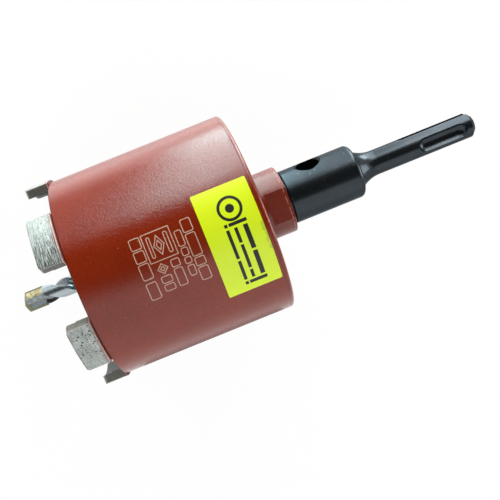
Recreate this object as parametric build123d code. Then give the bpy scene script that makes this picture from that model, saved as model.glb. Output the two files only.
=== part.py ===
from build123d import *
import math
import os

# A dry diamond core bit, screwed onto an SDS-plus adapter that holds a centring drill.
# Millimetres. The tool's axis is X, and +X points towards the shank. Z is up as the tool
# lies on its side. X is 0 where the adapter's neck runs out into the straight shank.
# An angle is counted about +X in degrees, from 0 straight up.

# Barrel: a tube, closed by a stepped end plate
barrel_diameter = 80.0
barrel_wall = 2.0
barrel_length = 69.5
open_rim_chamfer = 0.25
plate_thickness = 6.0
plate_rim_thickness = 1.5
plate_rim_round = 1.35
plate_clearance = 0.03

# Hub: a threaded boss with a spigot through the end plate
hub_diameter = 27.0
hub_projection = 12.8
hub_spigot_diameter = 21.0
hub_across_flats = 24.0
hub_round_foot = 4.1
hub_end_round = 0.5
hub_flat_angle = 5.5
hub_clearance = 0.03
weld_leg = 2.4

# Diamond segments, brazed on the open rim
segment_count = 6
segment_first_angle = 30.0
segment_outer_overhang = 1.0
segment_inner_overhang = 0.6
segment_width = 19.7
segment_height = 9.1
segment_step_height = 4.0
segment_step_depth = 0.4
segment_corner_round = 1.2

# Adapter: stud, collar, body, neck and SDS-plus shank in one turned piece
thread_pitch_diameter = 14.7
thread_clearance = 0.05
stud_recess = 1.0
stud_chamfer = 1.0
collar_diameter = 19.4
collar_length = 0.8
body_diameter = 21.6
body_length = 29.5
body_front_chamfer = 0.35
body_rear_round = 2.0
neck_diameter = 16.1
neck_length = 8.3
shank_diameter = 10.0
shank_length = 41.0
shank_chamfer = 1.5
drift_hole_diameter = 9.4
drift_hole_from_front = 11.7
drift_hole_angle = -68.4
drift_hole_countersink = 0.8

# Grooves of the SDS-plus shank
ball_groove_angle = 9.3
ball_groove_length = 20.3
ball_groove_from_end = 3.8
ball_groove_across = 5.5
ball_cutter_diameter = 7.0
drive_groove_length = 30.0
drive_groove_width = 3.0
drive_groove_across = 6.6

# Centring drill with a taper shank and a carbide plate
drill_reach = 19.0
drill_body_diameter = 7.3
drill_web = 2.6
drill_flute_span = 89.0
drill_flute_pitch = 30.0
drill_flute_turns = 1.4
drill_flute_runout = 9.0
drill_plate_angle = 85.6
drill_point_angle = 136.0
drill_point_setback = 0.7
taper_large_diameter = 10.6
taper_ratio = 8.0
taper_length = 24.0
taper_clearance = 0.02
taper_shoulder = 1.6
tail_chamfer = 0.5

# Carbide plate, in a braze-filled slot across the drill's head
carbide_width = 8.0
carbide_height = 8.6
carbide_thickness = 1.9
carbide_relief_angle = 25.0
braze_joint = 0.1

# Sticker on the barrel
sticker_width = 20.0
sticker_length = 39.6
sticker_from_back = 2.5
sticker_angle = 5.9
sticker_thickness = 0.12
sticker_clearance = 0.02
sticker_corner_round = 0.6

# Radii
barrel_radius = barrel_diameter / 2
bore_radius = barrel_radius - barrel_wall
hub_radius = hub_diameter / 2
hub_spigot_radius = hub_spigot_diameter / 2
segment_outer_radius = barrel_radius + segment_outer_overhang
segment_inner_radius = bore_radius - segment_inner_overhang
thread_radius = thread_pitch_diameter / 2
body_radius = body_diameter / 2
neck_radius = neck_diameter / 2
shank_radius = shank_diameter / 2
drill_radius = drill_body_diameter / 2
taper_large_radius = taper_large_diameter / 2
taper_small_radius = taper_large_radius - taper_length / taper_ratio / 2

# Stations along the axis, from the shank's end to the drill's tip
shank_end = shank_length
body_back = -neck_length
body_front = body_back - body_length
hub_back = body_front - collar_length
barrel_back = hub_back - hub_projection
plate_front = barrel_back - plate_thickness
tube_back = barrel_back - plate_rim_thickness
barrel_front = barrel_back - barrel_length
segment_tip = barrel_front - segment_height
drill_tip = segment_tip - drill_reach
stud_front = plate_front + stud_recess
tail_end = stud_front + taper_length
drift_hole_x = body_front + drift_hole_from_front
head_back = drill_tip + carbide_height


def turned(outline):
    """Revolve a closed outline of (x, radius) lines about the tool's axis."""
    return revolve(Plane.XZ * make_face(outline), Axis.X)


def round_bar(start, end, radius):
    """A cylinder on the tool's axis from one station to another."""
    bar = Cylinder(radius, end - start, align=(Align.CENTER, Align.CENTER, Align.MIN))
    return Pos(start, 0, 0) * Rot(0, 90, 0) * bar


def about_axis(shape, angle):
    """Turn a shape about the tool's axis."""
    return Rot(angle, 0, 0) * shape


def end_edges(shape, x, radius):
    """The circular edges of one radius at one station."""
    circles = shape.edges().filter_by(GeomType.CIRCLE)
    return circles.filter_by(lambda e: abs(e.center().X - x) < 0.001 and abs(e.radius - radius) < 0.001)


def make_barrel_tube():
    tube = round_bar(barrel_front, tube_back, barrel_radius)
    tube -= round_bar(barrel_front, tube_back, bore_radius)
    return chamfer(end_edges(tube, barrel_front, barrel_radius), open_rim_chamfer)


def make_end_plate():
    plate = round_bar(plate_front, barrel_back, bore_radius - plate_clearance)
    plate += round_bar(tube_back, barrel_back, barrel_radius)
    plate -= round_bar(plate_front, barrel_back, hub_spigot_radius + hub_clearance)
    return fillet(end_edges(plate, barrel_back, barrel_radius), plate_rim_round)


def make_hub():
    hub = round_bar(barrel_back, hub_back, hub_radius)
    hub = fillet(end_edges(hub, hub_back, hub_radius), hub_end_round)
    hub += round_bar(plate_front, barrel_back, hub_spigot_radius)
    flat_length = hub_projection - hub_round_foot
    flat = Pos(barrel_back + hub_round_foot, 0, hub_across_flats / 2) * Box(
        flat_length, hub_diameter, hub_radius, align=(Align.MIN, Align.CENTER, Align.MIN)
    )
    for side in (0, 180):
        hub -= about_axis(flat, hub_flat_angle + side)
    return hub - round_bar(plate_front, hub_back, thread_radius + thread_clearance)


def make_hub_weld():
    foot = (barrel_back, hub_radius)
    along_hub = (barrel_back + weld_leg, hub_radius)
    along_plate = (barrel_back, hub_radius + weld_leg)
    return turned(Polyline(foot, along_hub, along_plate, foot))


def make_segment(angle):
    ring = round_bar(segment_tip, barrel_front, segment_outer_radius)
    ring -= round_bar(segment_tip, barrel_front, segment_inner_radius)
    ring -= round_bar(segment_tip, segment_tip + segment_step_height, segment_inner_radius + segment_step_depth)
    slab = Pos(segment_tip, 0, 0) * Box(
        segment_height, segment_width, segment_outer_radius, align=(Align.MIN, Align.CENTER, Align.MIN)
    )
    segment = ring & slab
    corners = segment.edges().group_by(Axis.X)[0].filter_by(GeomType.LINE)
    return about_axis(fillet(corners, segment_corner_round), angle)


def adapter_outline():
    """The closed outline of the whole adapter, stud to shank, before its holes and grooves."""
    collar_radius = collar_diameter / 2
    stud_back = hub_back
    stud = Polyline(
        (stud_front, 0),
        (stud_front, thread_radius - stud_chamfer),
        (stud_front + stud_chamfer, thread_radius),
        (stud_back, thread_radius),
        (stud_back, collar_radius),
        (body_front, collar_radius),
        (body_front, body_radius - body_front_chamfer),
        (body_front + body_front_chamfer, body_radius),
        (body_back - body_rear_round, body_radius),
    )
    rear = RadiusArc(stud @ 1, (body_back, body_radius - body_rear_round), body_rear_round)
    face = Line(rear @ 1, (body_back, neck_radius))
    flare = TangentArc((0, shank_radius), (body_back, neck_radius), tangent=(-1, 0))
    shank = Polyline(
        (0, shank_radius),
        (shank_end - shank_chamfer, shank_radius),
        (shank_end, shank_radius - shank_chamfer),
        (shank_end, 0),
        (stud_front, 0),
    )
    return stud + rear + face + flare + shank


def make_ball_groove():
    """The closed groove that a locking ball runs in, cut straight up from the axis."""
    cutter = ball_cutter_diameter / 2
    height = ball_groove_across / 2 + cutter
    surface_half = math.sqrt(cutter**2 - max(height - shank_radius, 0) ** 2)
    back = shank_end - ball_groove_from_end - surface_half
    front = back - ball_groove_length + 2 * surface_half
    groove = Pos(front, 0, height) * Rot(0, 90, 0) * Cylinder(
        cutter, back - front, align=(Align.CENTER, Align.CENTER, Align.MIN)
    )
    for end in (front, back):
        groove += Pos(end, 0, height) * Sphere(cutter)
    return groove


def make_drive_groove():
    """The open groove that a drive wedge of the chuck slides in."""
    start = shank_end - drive_groove_length
    end_radius = drive_groove_width / 2
    floor = Pos(start + end_radius, 0, drive_groove_across / 2)
    groove = floor * Box(
        drive_groove_length, drive_groove_width, shank_radius, align=(Align.MIN, Align.CENTER, Align.MIN)
    )
    return groove + floor * Cylinder(end_radius, shank_radius, align=(Align.CENTER, Align.CENTER, Align.MIN))


def make_taper_bore():
    """The bore that holds the drill's taper, running back into the drift hole."""
    mouth = taper_large_radius + taper_clearance
    throat = taper_small_radius + taper_clearance
    return turned(
        Polyline(
            (stud_front, 0),
            (stud_front, mouth),
            (tail_end, throat),
            (drift_hole_x, throat),
            (drift_hole_x, 0),
            (stud_front, 0),
        )
    )


def make_adapter():
    adapter = turned(adapter_outline())
    drift_hole_radius = drift_hole_diameter / 2
    drift_hole = Pos(drift_hole_x, 0, 0) * Cylinder(drift_hole_radius, 2 * body_diameter)
    adapter -= about_axis(drift_hole, drift_hole_angle)
    countersink = Pos(drift_hole_x, 0, body_radius) * Cone(
        drift_hole_radius,
        drift_hole_radius + drift_hole_countersink,
        drift_hole_countersink,
        align=(Align.CENTER, Align.CENTER, Align.MAX),
    )
    for side in (0, 180):
        adapter -= about_axis(countersink, drift_hole_angle + side)
    for side in (0, 180):
        adapter -= about_axis(make_ball_groove(), ball_groove_angle + side)
        adapter -= about_axis(make_drive_groove(), ball_groove_angle + 90 + side)
    return adapter - make_taper_bore()


def flute_radius():
    """The radius of a flute's section, through its two edges and the web."""
    half_span = math.radians(drill_flute_span / 2)
    half_width = drill_radius * math.sin(half_span)
    depth = drill_radius * math.cos(half_span) - drill_web / 2
    return (half_width**2 + depth**2) / (2 * depth)


def make_drill_section():
    """The drill's section at the back of its head, with the carbide plate's ends up and down.

    Each flute's edge lies on the plate's leading face, so the plate's cutting side is bare.
    """
    radius = flute_radius()
    slot_half_width = carbide_thickness / 2 + braze_joint
    lead = drill_flute_span / 2 + math.degrees(math.asin(slot_half_width / drill_radius))
    section = Circle(drill_radius)
    for side in (0, 180):
        section -= Rot(0, 0, side - lead) * Pos(0, drill_web / 2 + radius) * Circle(radius)
    across = Plane(origin=(head_back, 0, 0), x_dir=(0, 1, 0), z_dir=(1, 0, 0))
    return (across * section).faces()[0]


def make_drill_head(section):
    """The drill's head before its slot: straight flutes under a ground cone."""
    rise = drill_radius / math.tan(math.radians(drill_point_angle / 2))
    start = drill_tip + drill_point_setback
    blank = turned(
        Polyline((start, 0), (start + rise, drill_radius), (head_back, drill_radius), (head_back, 0), (start, 0))
    )
    return blank & extrude(section, amount=carbide_height, dir=(-1, 0, 0))


def make_carbide_slot():
    """The space across the drill's head for the plate and the braze round it."""
    width = carbide_thickness + 2 * braze_joint
    return Pos(drill_tip, 0, 0) * Box(
        carbide_height + braze_joint, width, 2 * carbide_width, align=(Align.MIN, Align.CENTER, Align.CENTER)
    )


def make_drill_body(section):
    """The whole drill before its slot."""
    flute_length = drill_flute_pitch * drill_flute_turns
    flute_end = head_back + flute_length
    twisted = Solid.extrude_linear_with_rotation(
        section, (head_back, 0, 0), (flute_length, 0, 0), 360 * drill_flute_turns
    )
    runout_start = flute_end - drill_flute_runout
    runout = turned(
        Polyline((runout_start, 0), (flute_end, drill_radius), (flute_end, 0), (runout_start, 0))
    )
    tail = turned(
        Polyline(
            (flute_end, 0),
            (flute_end, drill_radius),
            (stud_front - taper_shoulder, drill_radius),
            (stud_front, taper_large_radius),
            (tail_end, taper_small_radius),
            (tail_end, 0),
            (flute_end, 0),
        )
    )
    tail = chamfer(end_edges(tail, tail_end, taper_small_radius), tail_chamfer)
    return make_drill_head(section) + twisted + runout + tail


def make_pilot_drill():
    drill = make_drill_body(make_drill_section()) - make_carbide_slot()
    return about_axis(drill, drill_plate_angle)


def make_carbide_plate():
    """The plate with its cutting edges on the leading faces, ends up and down."""
    plate = Pos(drill_tip, 0, 0) * Box(
        carbide_height, carbide_thickness, carbide_width, align=(Align.MIN, Align.CENTER, Align.CENTER)
    )
    plate = plate & round_bar(drill_tip, head_back, carbide_width / 2)
    slope = 1 / math.tan(math.radians(drill_point_angle / 2))
    relief = math.tan(math.radians(carbide_relief_angle))
    for side in (1, -1):
        outward = (-1, -side * relief, side * slope)
        facet = Plane(origin=(drill_tip, 0, 0), x_dir=(0, slope, relief), z_dir=outward)
        plate -= facet * Box(
            3 * carbide_width, 3 * carbide_width, carbide_height, align=(Align.CENTER, Align.CENTER, Align.MIN)
        )
    return plate


def make_carbide_tip():
    return about_axis(make_carbide_plate(), drill_plate_angle)


def make_tip_braze():
    """The braze in the slot, where it lies between the plate and the steel."""
    section = make_drill_section()
    floor = extrude(section, amount=braze_joint, dir=(1, 0, 0))
    filling = (make_drill_head(section) + floor) & make_carbide_slot()
    return about_axis(filling - make_carbide_plate(), drill_plate_angle)


def make_sticker():
    inner = barrel_radius + sticker_clearance
    back = barrel_back - sticker_from_back
    ring = round_bar(back - sticker_width, back, inner + sticker_thickness)
    ring -= round_bar(back - sticker_width, back, inner)
    half_angle = sticker_length / barrel_radius / 2
    half_chord = inner * math.sin(half_angle)
    window = Pos(back - sticker_width, 0, 0) * Box(
        sticker_width, 2 * half_chord, barrel_diameter, align=(Align.MIN, Align.CENTER, Align.MIN)
    )
    window = fillet(window.edges().filter_by(Axis.Z), sticker_corner_round)
    return about_axis(ring & window, sticker_angle)


parts = {
    "barrel_tube": make_barrel_tube(),
    "end_plate": make_end_plate(),
    "hub": make_hub(),
    "hub_weld": make_hub_weld(),
    "adapter": make_adapter(),
    "pilot_drill": make_pilot_drill(),
    "carbide_tip": make_carbide_tip(),
    "tip_braze": make_tip_braze(),
    "sticker": make_sticker(),
}
for number in range(segment_count):
    angle = segment_first_angle + number * 360 / segment_count
    parts[f"segment_{number + 1}"] = make_segment(angle)

os.makedirs("parts", exist_ok=True)
for name, part in parts.items():
    export_step(part, f"parts/{name}.step")
    print(name, round(part.volume, 2), len(part.solids()))
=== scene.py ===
import math

import bmesh
import bpy
from mathutils import Matrix, Vector


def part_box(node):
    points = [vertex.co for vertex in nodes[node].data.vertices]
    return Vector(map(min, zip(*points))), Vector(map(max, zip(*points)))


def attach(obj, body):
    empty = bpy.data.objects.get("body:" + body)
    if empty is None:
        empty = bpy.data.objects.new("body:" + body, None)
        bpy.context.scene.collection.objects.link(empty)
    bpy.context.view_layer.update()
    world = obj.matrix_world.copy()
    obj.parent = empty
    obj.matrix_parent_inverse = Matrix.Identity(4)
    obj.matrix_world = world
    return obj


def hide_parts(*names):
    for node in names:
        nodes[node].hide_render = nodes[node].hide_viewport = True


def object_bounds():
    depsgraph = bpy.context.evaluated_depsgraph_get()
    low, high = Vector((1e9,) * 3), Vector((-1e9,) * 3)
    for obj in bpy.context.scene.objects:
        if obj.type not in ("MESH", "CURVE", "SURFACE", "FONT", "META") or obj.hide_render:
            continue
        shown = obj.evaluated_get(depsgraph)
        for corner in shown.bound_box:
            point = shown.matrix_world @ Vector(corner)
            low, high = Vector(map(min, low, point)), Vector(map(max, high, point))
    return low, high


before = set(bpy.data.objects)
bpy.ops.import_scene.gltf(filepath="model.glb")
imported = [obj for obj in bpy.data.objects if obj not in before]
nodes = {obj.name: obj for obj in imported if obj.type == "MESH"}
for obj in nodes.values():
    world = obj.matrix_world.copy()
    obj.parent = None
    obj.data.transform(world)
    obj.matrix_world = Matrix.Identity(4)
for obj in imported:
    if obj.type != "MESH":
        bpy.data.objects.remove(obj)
cad_low, cad_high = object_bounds()
MM = 0.001

# Camera: fitted to the barrel's two rims. Lengths are in millimetres, angles in degrees, and
# names that end in PX are in pixels of the square image. The two clip distances are in metres.
IMAGE_SIZE_PX = 500.0
CAMERA_FOCAL_PX = 682.2
CAMERA_X = -78.0
CAMERA_DISTANCE = 269.5
CAMERA_ANGLE = -4.35
CAMERA_TARGET_X = -75.9
AXIS_ROLL = 21.99
PRINCIPAL_X_PX = 196.9
PRINCIPAL_Y_PX = 234.1
SENSOR_WIDTH = 36.0
CAMERA_CLIP_START = 0.01
CAMERA_CLIP_END = 20.0

# Stations and radii of the part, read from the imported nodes.
TUBE_LOW, TUBE_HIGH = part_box("barrel_tube")
PLATE_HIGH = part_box("end_plate")[1]
HUB_LOW, HUB_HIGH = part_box("hub")
STICKER_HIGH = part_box("sticker")[1]
WELD_LOW, WELD_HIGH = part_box("hub_weld")
SEGMENT_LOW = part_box("segment_1")[0]
TIP_LOW, TIP_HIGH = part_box("carbide_tip")
BARREL_RADIUS = TUBE_HIGH.z / MM
BARREL_FRONT = TUBE_LOW.x / MM
TUBE_BACK = TUBE_HIGH.x / MM
BARREL_BACK = PLATE_HIGH.x / MM
HUB_RADIUS = (HUB_HIGH.y - HUB_LOW.y) / 2 / MM
HUB_BACK = HUB_HIGH.x / MM
SEGMENT_TIP = SEGMENT_LOW.x / MM
SEGMENT_RADIUS = cad_high.y / MM
HEAD_BACK = TIP_HIGH.x / MM
POINT_X = TIP_LOW.x / MM
POINT_ANGLE = 136.0
STICKER_RADIUS = STICKER_HIGH.z / MM


def linear(red, green, blue):
    """A colour given as 0 to 255 screen values, as the linear colour that a shader takes."""
    values = []
    for value in (red, green, blue):
        share = value / 255.0
        values.append(share / 12.92 if share <= 0.04045 else ((share + 0.055) / 1.055) ** 2.4)
    return (*values, 1.0)


def grey(level):
    """An even grey as the colour that a shader takes."""
    return (level, level, level, 1.0)


def around(x, radius, angle):
    """A point of the part in metres: station and radius in millimetres, angle in degrees about +X."""
    turn = math.radians(angle)
    return Vector((x * MM, -radius * math.sin(turn) * MM, radius * math.cos(turn) * MM))


# ---------------------------------------------------------------- camera
def make_camera():
    """The camera looks down on the part, and its roll tilts the tool's axis in the picture."""
    data = bpy.data.cameras.new("camera")
    camera = bpy.data.objects.new("camera", data)
    bpy.context.scene.collection.objects.link(camera)
    position = around(CAMERA_X, CAMERA_DISTANCE, CAMERA_ANGLE)
    target = Vector((CAMERA_TARGET_X * MM, 0.0, 0.0))
    backward = (position - target).normalized()
    axis = Vector((1.0, 0.0, 0.0))
    along = (axis - backward * axis.dot(backward)).normalized()
    across = backward.cross(along)
    roll = math.radians(AXIS_ROLL)
    right = along * math.cos(roll) - across * math.sin(roll)
    up = along * math.sin(roll) + across * math.cos(roll)
    turn = Matrix((right, up, backward)).transposed()
    camera.matrix_world = Matrix.Translation(position) @ turn.to_4x4()
    data.sensor_width = SENSOR_WIDTH
    data.lens = CAMERA_FOCAL_PX / IMAGE_SIZE_PX * SENSOR_WIDTH
    data.shift_x = (IMAGE_SIZE_PX / 2 - PRINCIPAL_X_PX) / IMAGE_SIZE_PX
    data.shift_y = (PRINCIPAL_Y_PX - IMAGE_SIZE_PX / 2) / IMAGE_SIZE_PX
    data.clip_start = CAMERA_CLIP_START
    data.clip_end = CAMERA_CLIP_END
    bpy.context.scene.camera = camera


# ---------------------------------------------------------------- light, world and floor
# The studio stands square to the picture, so it is turned about Z against the tool's axis.
STUDIO_TURN = math.radians(AXIS_ROLL)
STUDIO_RIGHT = Vector((math.cos(STUDIO_TURN), -math.sin(STUDIO_TURN), 0.0))
STUDIO_BACK = Vector((math.sin(STUDIO_TURN), math.cos(STUDIO_TURN), 0.0))
STUDIO_UP = Vector((0.0, 0.0, 1.0))

FLOOR_REACH = 3.0
FLOOR_GREY = 0.92
# The share of the floor that glows to the camera: the lower one up to the first distance from
# the part's origin, and all of it beyond the second. Distances are in metres.
GLOW_NEAR = 0.12
GLOW_FAR = 0.60
GLOW_NEAR_SHARE = 0.94
AMBIENT_COLOR = (0.97, 0.99, 1.0, 1.0)
AMBIENT_STRENGTH = 0.17
# Cards that only reflections show, in metres, apart from the lift, which is in millimetres.
DARK_CARD_REACH = 0.9
DARK_CARD_HEIGHT = 0.60
DARK_CARD_FRONT = -0.235
DARK_CARD_BACK = 0.445
SHADE_FRONT = -0.085
SHADE_BACK = -0.030
SHADE_LIFT = 1.0
SHADE_LEVEL = 0.35


def studio(right, back, up):
    """A point of the studio in metres."""
    return STUDIO_RIGHT * right + STUDIO_BACK * back + STUDIO_UP * up


def in_part(x, y, z):
    """A point of the part's own frame in metres."""
    return Vector((x, y, z))


def soft_light(
    name, slide, elevation, distance, width, height, radiance, bearing=0.0, tone=(1.0, 1.0, 1.0)
):
    """A rectangular soft light that faces the part. Bearing is in degrees from the back towards
    the right, and elevation in degrees above the floor, so past 90 the light stands on the
    other side. Slide moves it sideways. Lengths are in metres."""
    data = bpy.data.lights.new(name, "AREA")
    data.shape = "RECTANGLE"
    data.size = width
    data.size_y = height
    data.energy = radiance * math.pi * width * height
    data.color = tone
    light = bpy.data.objects.new(name, data)
    bpy.context.scene.collection.objects.link(light)
    rise = math.radians(elevation)
    turn = math.radians(bearing)
    level = STUDIO_BACK * math.cos(turn) + STUDIO_RIGHT * math.sin(turn)
    sideways = STUDIO_RIGHT * math.cos(turn) - STUDIO_BACK * math.sin(turn)
    outward = level * math.cos(rise) + STUDIO_UP * math.sin(rise)
    across = outward.cross(sideways)
    matrix = Matrix((sideways, across, outward)).transposed().to_4x4()
    light.matrix_world = Matrix.Translation(sideways * slide + outward * distance) @ matrix
    return light


def stage_plane(name, low, high, height, place=studio):
    """A level stage object between two corners (right, back) of the studio, in metres. Where
    place is in_part, the corners are X and Y of the part's own frame."""
    mesh = bpy.data.meshes.new(name)
    plane = bmesh.new()
    corners = [(low[0], low[1]), (high[0], low[1]), (high[0], high[1]), (low[0], high[1])]
    plane.faces.new([plane.verts.new(place(right, back, height)) for right, back in corners])
    plane.to_mesh(mesh)
    plane.free()
    stage = bpy.data.objects.new(name, mesh)
    bpy.context.scene.collection.objects.link(stage)
    return stage


def combine(tree, operation, first, second):
    """A math node on two sockets."""
    node = tree.nodes.new("ShaderNodeMath")
    node.operation = operation
    tree.links.new(first, node.inputs[0])
    tree.links.new(second, node.inputs[1])
    return node.outputs[0]


def mix_shaders(tree, output, share, first, second):
    """Show the first shader where share is 0, and the second where it is 1."""
    mix = tree.nodes.new("ShaderNodeMixShader")
    tree.links.new(share, mix.inputs["Fac"])
    tree.links.new(first.outputs[0], mix.inputs[1])
    tree.links.new(second.outputs[0], mix.inputs[2])
    tree.links.new(mix.outputs[0], output.inputs["Surface"])


def make_world():
    """White where the camera and reflections see it, and a faint even light for the rest."""
    world = bpy.data.worlds.new("studio")
    world.use_nodes = True
    bpy.context.scene.world = world
    tree = world.node_tree
    tree.nodes.clear()
    output = tree.nodes.new("ShaderNodeOutputWorld")
    ambient = tree.nodes.new("ShaderNodeBackground")
    ambient.inputs["Color"].default_value = AMBIENT_COLOR
    ambient.inputs["Strength"].default_value = AMBIENT_STRENGTH
    white = tree.nodes.new("ShaderNodeBackground")
    white.inputs["Color"].default_value = grey(1.0)
    white.inputs["Strength"].default_value = 1.0
    path = tree.nodes.new("ShaderNodeLightPath").outputs
    seen = combine(tree, "MAXIMUM", path["Is Camera Ray"], path["Is Glossy Ray"])
    shown = combine(tree, "MAXIMUM", seen, path["Is Transmission Ray"])
    mix_shaders(tree, output, shown, ambient, white)


def make_floor():
    """A matte floor that catches the part's shadow, and is nearly white to the camera."""
    corner = (FLOOR_REACH, FLOOR_REACH)
    floor = stage_plane("floor", (-FLOOR_REACH, -FLOOR_REACH), corner, -BARREL_RADIUS * MM)
    material = bpy.data.materials.new("floor_white")
    material.use_nodes = True
    tree = material.node_tree
    tree.nodes.clear()
    output = tree.nodes.new("ShaderNodeOutputMaterial")
    matte = tree.nodes.new("ShaderNodeBsdfDiffuse")
    matte.inputs["Color"].default_value = grey(FLOOR_GREY)
    white = tree.nodes.new("ShaderNodeEmission")
    white.inputs["Color"].default_value = grey(1.0)
    place = tree.nodes.new("ShaderNodeTexCoord")
    reach = tree.nodes.new("ShaderNodeVectorMath")
    reach.operation = "LENGTH"
    tree.links.new(place.outputs["Object"], reach.inputs[0])
    strength = tree.nodes.new("ShaderNodeMapRange")
    strength.interpolation_type = "SMOOTHSTEP"
    strength.inputs["From Min"].default_value = GLOW_NEAR
    strength.inputs["From Max"].default_value = GLOW_FAR
    strength.inputs["To Min"].default_value = GLOW_NEAR_SHARE
    strength.inputs["To Max"].default_value = 1.0
    tree.links.new(reach.outputs["Value"], strength.inputs["Value"])
    path = tree.nodes.new("ShaderNodeLightPath").outputs
    seen = combine(tree, "MAXIMUM", path["Is Camera Ray"], path["Is Glossy Ray"])
    share = combine(tree, "MULTIPLY", seen, strength.outputs["Result"])
    mix_shaders(tree, output, share, matte, white)
    floor.data.materials.append(material)
    # Reflections see the white world in its place, and the low light shines past it.
    floor.visible_glossy = False
    floor.visible_shadow = False


def show_in_reflections(card, level):
    """Give a card an even grey, and hide it from all but the reflections."""
    material = bpy.data.materials.new(card.name)
    material.use_nodes = True
    tree = material.node_tree
    tree.nodes.clear()
    output = tree.nodes.new("ShaderNodeOutputMaterial")
    glow = tree.nodes.new("ShaderNodeEmission")
    glow.inputs["Color"].default_value = grey(level)
    tree.links.new(glow.outputs[0], output.inputs["Surface"])
    card.data.materials.append(material)
    card.visible_camera = False
    card.visible_diffuse = False
    card.visible_shadow = False


def make_cards():
    """A dark card above the camera, and the shade that the barrel leaves on the floor before it."""
    low = (-DARK_CARD_REACH, DARK_CARD_FRONT)
    above = stage_plane("dark_card", low, (DARK_CARD_REACH, DARK_CARD_BACK), DARK_CARD_HEIGHT)
    show_in_reflections(above, 0.0)
    low = (BARREL_FRONT * MM, SHADE_FRONT)
    high = (BARREL_BACK * MM, SHADE_BACK)
    shade = stage_plane("floor_shade", low, high, (SHADE_LIFT - BARREL_RADIUS) * MM, in_part)
    show_in_reflections(shade, SHADE_LEVEL)


def make_lights():
    """Strips behind the part and wide soft lights round it. Some are hidden from the colour or
    from the reflections, so that the two are set apart from each other."""
    key = soft_light(
        "key", slide=-0.330, elevation=9.5, distance=0.87, width=0.13, height=1.35,
        radiance=16.0, tone=(0.68, 1.0, 1.02)
    )
    key.visible_diffuse = False
    soft_light(
        "key_side", slide=-0.19, elevation=3.0, distance=0.87, width=0.14, height=1.12, radiance=2.5
    )
    soft_light(
        "right_back", slide=0.145, elevation=5.0, distance=0.87, width=0.35, height=1.41, radiance=7.0
    )
    soft_light(
        "low_back", slide=-0.40, elevation=-42.0, distance=1.00, width=1.40, height=0.60, radiance=1.2
    )
    soft_light(
        "right_end", slide=0.0, elevation=14.0, distance=0.90, width=0.45, height=0.55,
        radiance=6.0, bearing=76.0
    )
    neck = soft_light(
        "neck", slide=0.0, elevation=-4.0, distance=0.90, width=0.16, height=0.60,
        radiance=18.0, bearing=24.0
    )
    neck.visible_diffuse = False
    left = soft_light(
        "left_back", slide=-0.50, elevation=8.0, distance=0.74, width=0.50, height=0.60,
        radiance=10.5, tone=(1.14, 1.0, 0.86)
    )
    left.visible_glossy = False
    soft_light(
        "front", slide=0.0, elevation=142.0, distance=1.05, width=2.40, height=1.40, radiance=0.32
    )
    fill = soft_light(
        "fill", slide=0.0, elevation=142.0, distance=1.00, width=2.40, height=1.40, radiance=1.3
    )
    fill.visible_glossy = False


make_camera()
make_world()
make_lights()
make_floor()
make_cards()
bpy.context.scene.view_settings.view_transform = "Standard"


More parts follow.
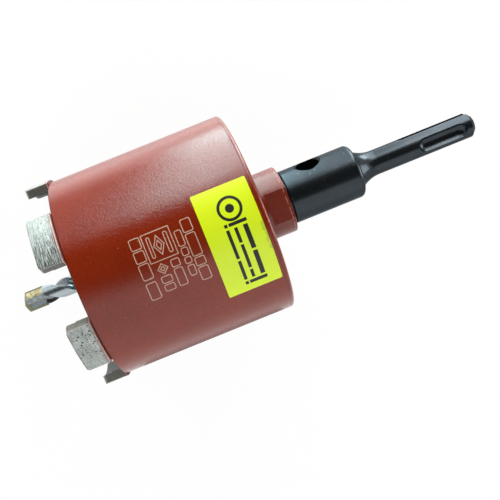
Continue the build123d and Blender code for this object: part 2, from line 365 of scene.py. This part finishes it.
# ---------------------------------------------------------------- materials
class Shading:
    """A material's node tree with short ways to add what the finishes use."""

    def __init__(self, name):
        self.material = bpy.data.materials.new(name)
        self.material.use_nodes = True
        self.tree = self.material.node_tree
        self.tree.nodes.clear()
        self.output = self.tree.nodes.new("ShaderNodeOutputMaterial")
        self.shader = self.tree.nodes.new("ShaderNodeBsdfPrincipled")
        self.link(self.shader.outputs[0], self.output.inputs["Surface"])
        self.place = self.tree.nodes.new("ShaderNodeTexCoord").outputs["Object"]
        split = self.tree.nodes.new("ShaderNodeSeparateXYZ")
        self.link(self.place, split.inputs[0])
        self.x = self.math("MULTIPLY", split.outputs[0], 1.0 / MM)
        self.y = self.math("MULTIPLY", split.outputs[1], 1.0 / MM)
        self.z = self.math("MULTIPLY", split.outputs[2], 1.0 / MM)

    def link(self, source, target):
        """Join two sockets."""
        self.tree.links.new(source, target)

    def feed(self, socket, value):
        """Link a socket, or give it a constant value."""
        if isinstance(value, bpy.types.NodeSocket):
            self.link(value, socket)
        else:
            socket.default_value = value

    def math(self, operation, *values):
        """A math node on sockets or numbers."""
        node = self.tree.nodes.new("ShaderNodeMath")
        node.operation = operation
        for index, value in enumerate(values):
            self.feed(node.inputs[index], value)
        return node.outputs[0]

    def add(self, a, b):
        return self.math("ADD", a, b)

    def times(self, a, b):
        return self.math("MULTIPLY", a, b)

    def radius(self):
        """Distance from the tool's axis in millimetres."""
        squares = self.add(self.times(self.y, self.y), self.times(self.z, self.z))
        return self.math("SQRT", squares)

    def angle(self):
        """Angle about +X from straight up, in degrees from -180 to 180."""
        turn = self.math("ARCTAN2", self.times(self.y, -1.0), self.z)
        return self.math("DEGREES", turn)

    def step(self, value, start, end):
        """0 before start, 1 after end, smooth in between; start may be above end."""
        node = self.tree.nodes.new("ShaderNodeMapRange")
        node.interpolation_type = "SMOOTHSTEP"
        self.feed(node.inputs["Value"], value)
        low, high = min(start, end), max(start, end)
        node.inputs["From Min"].default_value = low
        node.inputs["From Max"].default_value = high
        node.inputs["To Min"].default_value = 0.0 if start < end else 1.0
        node.inputs["To Max"].default_value = 1.0 if start < end else 0.0
        return node.outputs["Result"]

    def band(self, value, low, high, soft):
        """1 between low and high, with an edge of the width soft."""
        rise = self.step(value, low - soft, low)
        fall = self.step(value, high + soft, high)
        return self.times(rise, fall)

    def normal(self, axis):
        """One part of the surface's own normal: 0, 1 or 2 for X, Y or Z."""
        split = self.tree.nodes.new("ShaderNodeSeparateXYZ")
        self.link(self.tree.nodes.new("ShaderNodeNewGeometry").outputs["Normal"], split.inputs[0])
        return split.outputs[axis]

    def arc(self, radius):
        """Length round the part in millimetres, from straight up, at this radius."""
        return self.times(self.angle(), math.radians(radius))

    def most(self, *masks):
        """The highest of several masks."""
        result = masks[0]
        for mask in masks[1:]:
            result = self.math("MAXIMUM", result, mask)
        return result

    def noise(self, scale, detail=3.0, roughness=0.5, stretch=(1.0, 1.0, 1.0)):
        """Noise with scale in features per millimetre, stretched by dividing along each axis."""
        mapping = self.tree.nodes.new("ShaderNodeMapping")
        self.link(self.place, mapping.inputs["Vector"])
        mapping.inputs["Scale"].default_value = [1.0 / s for s in stretch]
        node = self.tree.nodes.new("ShaderNodeTexNoise")
        self.link(mapping.outputs[0], node.inputs["Vector"])
        node.inputs["Scale"].default_value = scale / MM
        node.inputs["Detail"].default_value = detail
        node.inputs["Roughness"].default_value = roughness
        return node.outputs["Fac"]

    def cells(self, scale):
        """Distance to the nearest of scattered points, with scale in points per millimetre."""
        node = self.tree.nodes.new("ShaderNodeTexVoronoi")
        node.feature = "F1"
        self.link(self.place, node.inputs["Vector"])
        node.inputs["Scale"].default_value = scale / MM
        return node.outputs["Distance"]

    def mix(self, share, first, second):
        """The first colour where share is 0, and the second where it is 1."""
        node = self.tree.nodes.new("ShaderNodeMix")
        node.data_type = "RGBA"
        self.feed(node.inputs[0], share)
        self.feed(node.inputs[6], first)
        self.feed(node.inputs[7], second)
        return node.outputs[2]

    def over(self, tone, mask, amount, color):
        """The tone with a colour laid over it where the mask is 1, at this strength."""
        return self.mix(self.times(mask, amount), tone, color)

    def specks(self, scale, low, high, rare):
        """Small round spots of a cell pattern, only where the mask called rare is 1."""
        return self.times(self.step(self.cells(scale), high, low), rare)

    def bump(self, height, distance, strength):
        """A normal that follows the height, with distance in millimetres."""
        node = self.tree.nodes.new("ShaderNodeBump")
        node.inputs["Strength"].default_value = strength
        node.inputs["Distance"].default_value = distance * MM
        self.link(height, node.inputs["Height"])
        return node.outputs[0]

    def set(self, **values):
        """Set the shader's own sockets, or link them, by short names."""
        names = {
            "color": "Base Color",
            "metallic": "Metallic",
            "roughness": "Roughness",
            "normal": "Normal",
            "specular": "Specular IOR Level",
            "tint": "Specular Tint",
        }
        for key, value in values.items():
            self.feed(self.shader.inputs[names[key]], value)
        return self


def give(material, *names):
    """Show these nodes with the material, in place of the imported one."""
    for name in names:
        mesh = nodes[name].data
        mesh.materials.clear()
        mesh.materials.append(material)


# Where the paint's marks lie, in millimetres behind the edge that each is named after, and
# before it where the number is negative: the joint line, a painted shade along the front rim,
# the hub's start, and a painted highlight before the hub's end.
JOINT_LINE = (-0.04, 0.06)
RIM_SHADE = (0.55, 0.20)
HUB_START = (0.3, 0.9)
HUB_END_HIGHLIGHT = (-1.15, -0.95)
LINE_SOFTNESS = 0.10
PEEL_HEIGHT = 0.096


def red_paint():
    """Semi-gloss rust-red paint with a fine orange peel, dust specks, dark joint lines and a painted
    shade along the front rim. The hub is darker and duller, with a broken painted highlight before
    its end."""
    pale, deep = linear(132, 44, 20), linear(84, 20, 6)
    dust, joint_and_shade_dark = linear(222, 178, 166), linear(48, 12, 6)
    hub_dark, hub_highlight = linear(70, 22, 12), linear(206, 162, 150)
    paint = Shading("red_paint")
    peel = paint.noise(0.9, detail=2.0)
    grain = paint.noise(2.3, detail=2.0)
    drift = paint.noise(0.06)
    tone = paint.mix(paint.step(drift, 0.35, 0.65), linear(107, 30, 9), linear(114, 34, 12))
    tone = paint.over(tone, paint.step(grain, 0.40, 0.66), 0.35, pale)
    tone = paint.over(tone, paint.step(grain, 0.52, 0.34), 0.35, deep)
    rare = paint.step(paint.noise(0.35, detail=1.0), 0.61, 0.67)
    speck = paint.specks(0.62, low=0.08, high=0.17, rare=rare)
    tone = paint.over(tone, speck, 0.16, dust)
    joint = paint.band(paint.x, TUBE_BACK + JOINT_LINE[0], TUBE_BACK + JOINT_LINE[1], LINE_SOFTNESS)
    # Painted shade: a dark band along the tube's front rim, in the joint's colour.
    rim_shade = paint.step(paint.x, BARREL_FRONT + RIM_SHADE[0], BARREL_FRONT + RIM_SHADE[1])
    shade = paint.most(paint.times(joint, 0.70), paint.times(rim_shade, 0.65))
    tone = paint.mix(shade, tone, joint_and_shade_dark)
    hub = paint.step(paint.x, BARREL_BACK + HUB_START[0], BARREL_BACK + HUB_START[1])
    tone = paint.over(tone, hub, 0.25, hub_dark)
    # Painted highlight: a broken pale band on the hub's edge just before its end.
    edge_highlight = paint.band(paint.x, HUB_BACK + HUB_END_HIGHLIGHT[0], HUB_BACK + HUB_END_HIGHLIGHT[1], LINE_SOFTNESS)
    edge_highlight = paint.times(edge_highlight, paint.step(paint.noise(0.8, detail=2.0), 0.38, 0.56))
    tone = paint.over(tone, edge_highlight, 0.45, hub_highlight)
    rough = paint.add(paint.times(peel, 0.05), paint.add(paint.times(hub, 0.12), 0.12))
    height = paint.add(paint.times(peel, 0.25), paint.times(grain, 0.75))
    height = paint.add(height, paint.times(speck, 0.12))
    height = paint.add(height, paint.times(joint, -0.3))
    normal = paint.bump(height, distance=PEEL_HEIGHT, strength=1.0)
    paint.set(color=tone, roughness=rough, normal=normal, specular=0.45)
    return paint.material


def etched_metal():
    """The pale, dull line that a laser leaves in the paint."""
    line = Shading("etched_line")
    grain = line.noise(3.0, roughness=0.6)
    tone = line.mix(line.step(grain, 0.35, 0.65), linear(150, 116, 98), linear(198, 172, 154))
    normal = line.bump(grain, distance=0.02, strength=0.6)
    line.set(color=tone, roughness=0.62, normal=normal, specular=0.3)
    return line.material


# Angles about +X from straight up, in degrees, between which the segments' look changes.
POROUS = (10.0, 32.0)
POROUS_SOFTNESS = 8.0
STREAKED = (-22.0, -12.0)
STREAKED_SOFTNESS = 14.0
SHADED = (-4.0, 10.0)
LOW_SIDES = (44.0, 56.0)
# Lengths on a segment in millimetres. The foot's seam, its pale line of mist with painted
# highlight and its dark line are before the tube's rim, the painted highlight on the sides' outer
# edge is inside the outer face, and the lip is behind the tip. The mist starts where x, moved back
# by noise of up to twice MIST_WANDER, is this far behind the rim.
FOOT_SEAM = (0.30, 0.16)
FOOT_HIGHLIGHT_LINE = (0.55, 0.35)
FOOT_HIGHLIGHT_LINE_SOFTNESS = 0.12
FOOT_DARK_LINE = (0.95, 0.80)
FOOT_DARK_LINE_SOFTNESS = 0.10
FOOT_MIST = (3.4, 5.6)
MIST_WANDER = 5.0
EDGE_HIGHLIGHT = (0.35, 0.10)
TIP_LIP = (0.40, 0.10)
SEGMENT_GRIT = 0.06


def segment_pits(metal, patch):
    """1 in the pits, which are close together where the metal is porous and rare elsewhere."""
    pit = metal.step(metal.cells(1.0), 0.42, 0.28)
    pit = metal.times(pit, metal.step(metal.noise(0.60, detail=2.0), 0.43, 0.50))
    porous = metal.band(metal.angle(), *POROUS, POROUS_SOFTNESS)
    scattered = metal.times(metal.step(patch, 0.50, 0.60), 0.35)
    return metal.times(pit, metal.add(metal.times(porous, 0.9), scattered))


def ground_tone(metal, grind, grain, patch, pit):
    """The outer face: grit, grinding lines, dull patches, dark streaks and pits."""
    tone = metal.mix(metal.step(grain, 0.30, 0.70), linear(145, 149, 146), linear(184, 190, 187))
    tone = metal.over(tone, metal.step(grind, 0.50, 0.38), 0.50, linear(104, 108, 104))
    tone = metal.over(tone, metal.step(grind, 0.52, 0.64), 0.35, linear(220, 220, 216))
    tone = metal.over(tone, metal.step(patch, 0.54, 0.40), 0.25, linear(96, 98, 92))
    streaked = metal.step(grind, 0.55, 0.46)
    streaked = metal.times(streaked, metal.band(metal.angle(), *STREAKED, STREAKED_SOFTNESS))
    tone = metal.over(tone, streaked, 0.85, linear(44, 44, 42))
    tone = metal.over(tone, metal.step(metal.angle(), *SHADED), 0.22, linear(96, 103, 100))
    return metal.over(tone, pit, 0.92, linear(34, 36, 38))


def other_faces(metal, tone):
    """The inner face, the sides with a painted highlight along their outer edge, and the tip with its
    dark lip.
    """
    radius = metal.radius()
    # 1 where the surface faces straight away from the axis, and -1 where it faces the axis.
    facing = metal.add(metal.times(metal.normal(1), metal.y), metal.times(metal.normal(2), metal.z))
    facing = metal.math("DIVIDE", facing, radius)
    inner = metal.step(facing, -0.35, -0.60)
    tone = metal.over(tone, inner, 0.90, linear(66, 74, 72))
    level = metal.math("ABSOLUTE", metal.normal(0))
    side = metal.step(metal.math("ABSOLUTE", facing), 0.60, 0.35)
    side = metal.times(side, metal.step(level, 0.60, 0.35))
    tone = metal.over(tone, side, 0.72, linear(94, 91, 82))
    low = metal.step(metal.math("ABSOLUTE", metal.angle()), *LOW_SIDES)
    tone = metal.over(tone, metal.times(side, low), 0.35, linear(66, 56, 44))
    # Painted highlight: a pale band on the side faces next to the outer face's edge.
    edge_highlight = metal.step(radius, SEGMENT_RADIUS - EDGE_HIGHLIGHT[0], SEGMENT_RADIUS - EDGE_HIGHLIGHT[1])
    tone = metal.over(tone, metal.times(side, edge_highlight), 0.7, linear(186, 184, 178))
    end = metal.step(metal.normal(0), -0.55, -0.85)
    tone = metal.over(tone, end, 0.62, linear(58, 50, 44))
    lip = metal.step(metal.x, SEGMENT_TIP + TIP_LIP[0], SEGMENT_TIP + TIP_LIP[1])
    return metal.over(tone, lip, 0.45, linear(70, 68, 64))


def foot_tone(metal, tone, patch, mist, seam):
    """The foot at the tube's rim: paint mist, a pale line of mist that is also painted highlight,
    a dark line and the painted seam.
    """
    tone = metal.mix(mist, tone, linear(120, 62, 46))
    low, high = BARREL_FRONT - FOOT_HIGHLIGHT_LINE[0], BARREL_FRONT - FOOT_HIGHLIGHT_LINE[1]
    line = metal.band(metal.x, low, high, FOOT_HIGHLIGHT_LINE_SOFTNESS)
    line = metal.times(line, metal.step(patch, 0.40, 0.55))
    weaker = metal.add(metal.times(metal.step(metal.angle(), *SHADED), -0.5), 1.0)
    # Pale paint mist with a painted highlight, weaker on the segments that the painted shade darkens.
    tone = metal.over(tone, metal.times(line, weaker), 0.70, linear(208, 190, 184))
    low, high = BARREL_FRONT - FOOT_DARK_LINE[0], BARREL_FRONT - FOOT_DARK_LINE[1]
    # A dark line across the foot of each segment.
    dark_line = metal.band(metal.x, low, high, FOOT_DARK_LINE_SOFTNESS)
    tone = metal.over(tone, dark_line, 0.45, linear(76, 62, 58))
    return metal.over(tone, seam, 0.9, linear(106, 32, 16))


def diamond_metal():
    """Sintered metal with grit, ground in fine lines round the bit, with paint mist at its foot."""
    metal = Shading("diamond_segment")
    grind = metal.noise(2.1, detail=4.0, roughness=0.65, stretch=(0.6, 7.0, 7.0))
    grain = metal.noise(2.2, detail=4.0, roughness=0.65)
    patch = metal.noise(0.30, roughness=0.55)
    pit = segment_pits(metal, patch)
    mist = metal.add(metal.x, metal.times(metal.add(patch, grain), MIST_WANDER))
    mist = metal.step(mist, BARREL_FRONT + FOOT_MIST[0], BARREL_FRONT + FOOT_MIST[1])
    mist = metal.times(mist, 0.75)
    foot = metal.step(metal.x, BARREL_FRONT - FOOT_SEAM[0], BARREL_FRONT - FOOT_SEAM[1])
    seam = metal.most(foot, metal.step(metal.normal(0), 0.3, 0.6))
    tone = ground_tone(metal, grind, grain, patch, pit)
    tone = other_faces(metal, tone)
    tone = foot_tone(metal, tone, patch, mist, seam)
    height = metal.add(metal.times(grind, 0.6), metal.times(grain, 0.5))
    height = metal.add(height, metal.times(pit, -1.2))
    shine = metal.add(metal.times(metal.most(mist, seam), -0.55), 0.6)
    normal = metal.bump(height, distance=SEGMENT_GRIT, strength=0.7)
    metal.set(color=tone, metallic=shine, roughness=0.46, normal=normal)
    return metal.material


def black_oxide():
    """Blued steel with fine turning lines and a few specks."""
    steel = Shading("black_oxide")
    grain = steel.noise(3.0)
    turning = steel.noise(1.2, roughness=0.6, stretch=(0.05, 2.0, 2.0))
    drift = steel.noise(0.12)
    tone = steel.mix(grain, (0.027, 0.034, 0.039, 1.0), (0.039, 0.047, 0.054, 1.0))
    tone = steel.over(tone, steel.step(drift, 0.5, 0.7), 0.4, (0.050, 0.056, 0.060, 1.0))
    rare = steel.step(steel.noise(0.5, detail=1.0), 0.58, 0.64)
    speck = steel.specks(0.9, low=0.08, high=0.18, rare=rare)
    tone = steel.over(tone, speck, 0.7, (0.22, 0.20, 0.18, 1.0))
    rough = steel.add(steel.times(turning, 0.12), 0.18)
    rough = steel.add(rough, steel.times(speck, 0.3))
    height = steel.add(turning, steel.times(speck, 0.8))
    normal = steel.bump(height, distance=0.01, strength=0.4)
    steel.set(color=tone, metallic=0.85, roughness=rough, normal=normal)
    steel.set(tint=(0.45, 0.48, 0.50, 1.0))
    return steel.material


# On the drill, in millimetres: the radii where its lands start and between which its flutes
# darken, and the softness of the change at the back of its head.
LAND_RADII = (3.35, 3.50)
FLUTE_RADII = (3.45, 2.60)
HEAD_SOFTNESS = 0.20


def drill_steel():
    """Ground steel. The lands of the drill's head are tinted gold by the brazing."""
    steel = Shading("drill_steel")
    grain = steel.noise(2.6, roughness=0.55)
    lines = steel.noise(1.5, roughness=0.6, stretch=(0.1, 2.0, 2.0))
    blotch = steel.noise(0.75, roughness=0.55)
    tone = steel.mix(grain, (0.30, 0.34, 0.36, 1.0), (0.43, 0.48, 0.51, 1.0))
    head = steel.step(steel.x, HEAD_BACK + HEAD_SOFTNESS, HEAD_BACK - HEAD_SOFTNESS)
    land = steel.step(steel.radius(), *LAND_RADII)
    flute = steel.step(steel.radius(), *FLUTE_RADII)
    tone = steel.over(tone, flute, 0.50, linear(62, 68, 72))
    dull = steel.mix(steel.step(blotch, 0.38, 0.60), linear(112, 123, 128), linear(154, 166, 170))
    tone = steel.over(tone, head, 0.85, dull)
    gold = steel.mix(steel.step(blotch, 0.36, 0.58), linear(140, 132, 100), linear(182, 178, 142))
    gold = steel.over(gold, steel.step(grain, 0.50, 0.36), 0.45, linear(138, 106, 66))
    tone = steel.mix(steel.times(head, land), tone, gold)
    rough = steel.add(steel.times(lines, 0.2), 0.2)
    rough = steel.add(rough, steel.times(head, 0.16))
    height = steel.add(steel.times(lines, 0.5), steel.times(steel.times(blotch, head), 1.5))
    shine = steel.add(steel.times(head, -0.5), 0.92)
    normal = steel.bump(height, distance=0.03, strength=0.6)
    steel.set(color=tone, metallic=shine, roughness=rough, normal=normal)
    return steel.material


# On the carbide plate, in millimetres: how far the film reaches behind the point's cone, and
# the radii between which it starts on the sides.
FILM_DEPTHS = (1.25, 0.95)
FILM_RADII = (3.55, 3.85)


def carbide():
    """Blue-grey carbide, with an olive film along its point and its outer edges."""
    plate = Shading("carbide")
    grain = plate.noise(4.0, roughness=0.55)
    blotch = plate.noise(0.8, roughness=0.55)
    tone = plate.mix(plate.step(grain, 0.3, 0.7), linear(146, 156, 163), linear(172, 182, 188))
    tone = plate.over(tone, plate.step(blotch, 0.50, 0.36), 0.6, linear(96, 103, 110))
    radius = plate.radius()
    cone = 1.0 / math.tan(math.radians(POINT_ANGLE / 2))
    depth = plate.add(plate.add(plate.x, -POINT_X), plate.times(radius, -cone))
    depth = plate.add(depth, plate.times(blotch, -0.6))
    front = plate.step(depth, *FILM_DEPTHS)
    side = plate.step(plate.add(radius, plate.times(blotch, 0.9)), *FILM_RADII)
    film = plate.mix(grain, linear(122, 121, 88), linear(160, 158, 120))
    tone = plate.over(tone, plate.most(front, side), 0.85, film)
    height = plate.add(plate.times(grain, 0.4), blotch)
    normal = plate.bump(height, distance=0.03, strength=0.5)
    plate.set(color=tone, metallic=0.12, roughness=0.38, normal=normal)
    return plate.material


def braze():
    """Brass-coloured filler metal, dulled by heat."""
    metal = Shading("braze")
    grain = metal.noise(3.0)
    blotch = metal.noise(0.9, detail=2.0)
    tone = metal.mix(grain, linear(140, 138, 108), linear(168, 166, 130))
    tone = metal.over(tone, metal.step(blotch, 0.50, 0.38), 0.6, linear(118, 116, 100))
    normal = metal.bump(grain, distance=0.03, strength=0.6)
    metal.set(color=tone, metallic=0.3, roughness=0.40, normal=normal)
    return metal.material


# Plain printed shapes on the sticker: a ring with a dot, and bars as (x low, x high, arc low,
# arc high). Arcs are lengths round the part from straight up, in millimetres.
RING_X = -62.8
RING_ARC = -7.0
RING_RADIUS = 3.9
RING_STROKE = 0.95
DOT_RADIUS = 1.5
PRINT_SOFTNESS = 0.08
SMUDGE_X = (-56.5, -54.2)
SMUDGE_ARC = (2.0, 10.0)
SMUDGE_SOFTNESS = 4.0
BARS = [
    (-65.2, -58.8, -2.25, -1.15),
    (-65.2, -58.8, 19.75, 21.05),
    (-60.7, -59.1, -0.20, 8.60),
    (-60.7, -59.1, 9.50, 18.90),
    (-63.9, -62.8, -0.20, 5.20),
    (-63.9, -62.8, 6.00, 14.90),
    (-63.9, -62.8, 15.70, 18.90),
    (-66.8, -65.7, -2.25, -1.15),
    (-66.8, -65.7, -0.20, 10.30),
    (-66.8, -65.7, 11.20, 18.90),
    (-66.8, -65.7, 19.75, 21.05),
]


def sticker_film():
    """Fluorescent film with plain printed shapes and a few grey smudges."""
    film = Shading("sticker")
    drift = film.noise(0.15)
    arc = film.arc(STICKER_RADIUS)
    tone = film.mix(drift, linear(197, 221, 6), linear(202, 227, 15))
    smudge = film.times(film.noise(0.5, detail=4.0, roughness=0.6), film.step(film.x, *SMUDGE_X))
    smudge = film.step(film.times(smudge, film.band(arc, *SMUDGE_ARC, SMUDGE_SOFTNESS)), 0.30, 0.55)
    tone = film.over(tone, smudge, 0.45, linear(120, 128, 40))
    across = film.add(film.x, -RING_X)
    along = film.add(arc, -RING_ARC)
    squares = film.add(film.times(across, across), film.times(along, along))
    reach = film.math("SQRT", squares)
    half = RING_STROKE / 2
    ring = film.band(reach, RING_RADIUS - half, RING_RADIUS + half, PRINT_SOFTNESS)
    dot = film.step(reach, DOT_RADIUS + PRINT_SOFTNESS, DOT_RADIUS)
    ink = film.most(ring, dot)
    for x_low, x_high, arc_low, arc_high in BARS:
        width = film.band(film.x, x_low, x_high, PRINT_SOFTNESS)
        length = film.band(arc, arc_low, arc_high, PRINT_SOFTNESS)
        ink = film.most(ink, film.times(width, length))
    print_grain = film.noise(3.5, detail=2.0)
    ink_tone = film.mix(print_grain, linear(3, 3, 2), linear(12, 13, 8))
    tone = film.mix(ink, tone, ink_tone)
    normal = film.bump(film.noise(0.8), distance=0.012, strength=0.4)
    film.set(color=tone, roughness=film.add(film.times(ink, 0.14), 0.36), normal=normal)
    return film.material


# ---------------------------------------------------------------- pieces
def add_piece(name, mesh, material):
    """A piece that rides on the part."""
    mesh.materials.append(material)
    for face in mesh.polygons:
        face.use_smooth = True
    piece = bpy.data.objects.new(name, mesh)
    bpy.context.scene.collection.objects.link(piece)
    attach(piece, "root")
    return piece


# Laser lines on the barrel: plain outlined bars and one frame as (x low, x high, arc low, arc
# high), and two double diamonds as (x, arc, half width, half height), one of them in the frame.
ETCH_WIDTH = 0.32
ETCH_LIFT = 0.02
ETCH_STEP = 0.8
ETCH_CORNER = 0.55
ETCH_INNER_CORNER = 0.45
CORNER_STEPS = 3
SHARPEST_MITRE = 0.5
ETCH_BARS = [
    (-80.1, -76.7, -9.5, -5.0),
    (-80.1, -76.7, -4.3, 3.6),
    (-80.1, -76.7, 4.3, 7.2),
    (-80.1, -76.7, 7.9, 12.7),
    (-83.2, -81.0, -6.7, -1.2),
    (-83.2, -81.0, -0.5, 2.2),
    (-83.2, -81.0, 2.9, 5.1),
    (-83.2, -81.0, 5.9, 9.6),
    (-87.9, -85.0, 1.8, 4.4),
    (-87.9, -85.0, 5.1, 11.6),
    (-93.0, -89.4, 6.2, 8.6),
    (-93.0, -89.4, 9.3, 11.6),
    (-98.7, -95.1, -9.5, -5.6),
    (-98.7, -95.1, -4.9, -1.0),
    (-98.7, -95.1, -0.3, 5.2),
    (-98.7, -95.1, 6.6, 12.8),
]
ETCH_FRAME = (-94.3, -84.4, -9.5, 0.6)
ETCH_INNER_BARS = [
    (-86.8, -85.6, -8.1, -0.8),
    (-92.9, -91.9, -8.1, -0.8),
]
ETCH_DIAMONDS = [
    (-89.4, -4.45, 1.8, 3.4),
    (-89.4, -4.45, 0.9, 1.7),
    (-91.2, 3.5, 1.8, 1.8),
    (-91.2, 3.5, 0.8, 0.8),
]


def rounded_bar(x_low, x_high, arc_low, arc_high, corner):
    """The outline of a bar with round corners, as points of x and arc."""
    points = []
    centres = [
        (x_high - corner, arc_high - corner, 0),
        (x_low + corner, arc_high - corner, 90),
        (x_low + corner, arc_low + corner, 180),
        (x_high - corner, arc_low + corner, 270),
    ]
    for x, arc, start in centres:
        for step in range(CORNER_STEPS + 1):
            turn = math.radians(start + 90 / CORNER_STEPS * step)
            points.append((x + corner * math.cos(turn), arc + corner * math.sin(turn)))
    return points


def diamond(x, arc, half_x, half_arc):
    """The outline of a diamond about its middle, as points of x and arc."""
    return [(x + half_x, arc), (x, arc + half_arc), (x - half_x, arc), (x, arc - half_arc)]


def add_outline(mesh, points, width, radius):
    """A closed line of even width that lies on the barrel."""
    dense = []
    count = len(points)
    for index in range(count):
        start = Vector(points[index])
        end = Vector(points[(index + 1) % count])
        parts = max(1, math.ceil((end - start).length / ETCH_STEP))
        dense += [start.lerp(end, part / parts) for part in range(parts)]
    count = len(dense)
    inner = []
    outer = []
    for index in range(count):
        before = (dense[index] - dense[index - 1]).normalized()
        after = (dense[(index + 1) % count] - dense[index]).normalized()
        middle = (before + after).normalized()
        side = Vector((middle.y, -middle.x))
        reach = width / 2 / max(SHARPEST_MITRE, middle.dot(after))
        for line, sign in ((inner, -1), (outer, 1)):
            point = dense[index] + side * reach * sign
            angle = math.degrees(point.y / BARREL_RADIUS)
            line.append(mesh.verts.new(around(point.x, radius, angle)))
    for index in range(count):
        following = (index + 1) % count
        mesh.faces.new((inner[index], inner[following], outer[following], outer[index]))


def make_etched_lines():
    """The flat laser lines, as one mesh just above the paint."""
    lines = bmesh.new()
    radius = BARREL_RADIUS + ETCH_LIFT
    outlines = [rounded_bar(*bar, ETCH_CORNER) for bar in ETCH_BARS]
    outlines += [rounded_bar(*bar, ETCH_INNER_CORNER) for bar in ETCH_INNER_BARS]
    outlines += [diamond(*shape) for shape in ETCH_DIAMONDS]
    for outline in outlines:
        add_outline(lines, outline, ETCH_WIDTH, radius)
    x_low, x_high, arc_low, arc_high = ETCH_FRAME
    frame_points = [(x_high, arc_low), (x_high, arc_high), (x_low, arc_high), (x_low, arc_low)]
    add_outline(lines, frame_points, ETCH_WIDTH, radius)
    bmesh.ops.recalc_face_normals(lines, faces=lines.faces)
    for face in lines.faces:
        middle = face.calc_center_median()
        if face.normal.dot(Vector((0.0, middle.y, middle.z))) < 0:
            face.normal_flip()
    mesh = bpy.data.meshes.new("etched_lines")
    lines.to_mesh(mesh)
    lines.free()
    add_piece("etched_lines", mesh, etched_metal())


WELD_RIPPLES = 62
WELD_STEPS = 8
WELD_POINTS = 9
WELD_RIPPLE_DEPTH = 0.16
WELD_LEAST_DEPTH = 0.25
WELD_SCALE_LEAN = 0.9
WELD_SINK = 0.7


def make_weld(material):
    """The bead round the hub's foot, with the scales that a weld's pool leaves."""
    leg = (WELD_HIGH.x - WELD_LOW.x) / MM
    bead = bmesh.new()
    count = WELD_RIPPLES * WELD_STEPS
    rings = []
    for index in range(count):
        angle = 360.0 * index / count
        ring = []
        for point in range(WELD_POINTS):
            share = point / (WELD_POINTS - 1)
            x = BARREL_BACK + leg * share
            radius = HUB_RADIUS + leg * (1.0 - share)
            bow = math.sin(math.pi * share)
            scale = (index / WELD_STEPS + WELD_SCALE_LEAN * bow) % 1.0
            lower = bow * WELD_RIPPLE_DEPTH * (WELD_LEAST_DEPTH + scale * scale)
            sink = lower * WELD_SINK
            ring.append(bead.verts.new(around(x - sink, radius - sink, angle)))
        ring.append(bead.verts.new(around(BARREL_BACK, HUB_RADIUS, angle)))
        rings.append(ring)
    width = WELD_POINTS + 1
    for index in range(count):
        this = rings[index]
        following = rings[(index + 1) % count]
        for point in range(width):
            beyond = (point + 1) % width
            bead.faces.new((this[point], this[beyond], following[beyond], following[point]))
    bmesh.ops.recalc_face_normals(bead, faces=bead.faces)
    mesh = bpy.data.meshes.new("weld_bead")
    bead.to_mesh(mesh)
    bead.free()
    piece = add_piece("weld_bead", mesh, material)
    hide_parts("hub_weld")


PAINT = red_paint()
give(PAINT, "barrel_tube", "end_plate", "hub", "hub_weld")
SEGMENTS = [name for name in sorted(nodes) if name.startswith("segment_")]
give(diamond_metal(), *SEGMENTS)
give(black_oxide(), "adapter")
give(drill_steel(), "pilot_drill")
give(carbide(), "carbide_tip")
give(braze(), "tip_braze")
give(sticker_film(), "sticker")
make_etched_lines()
make_weld(PAINT)
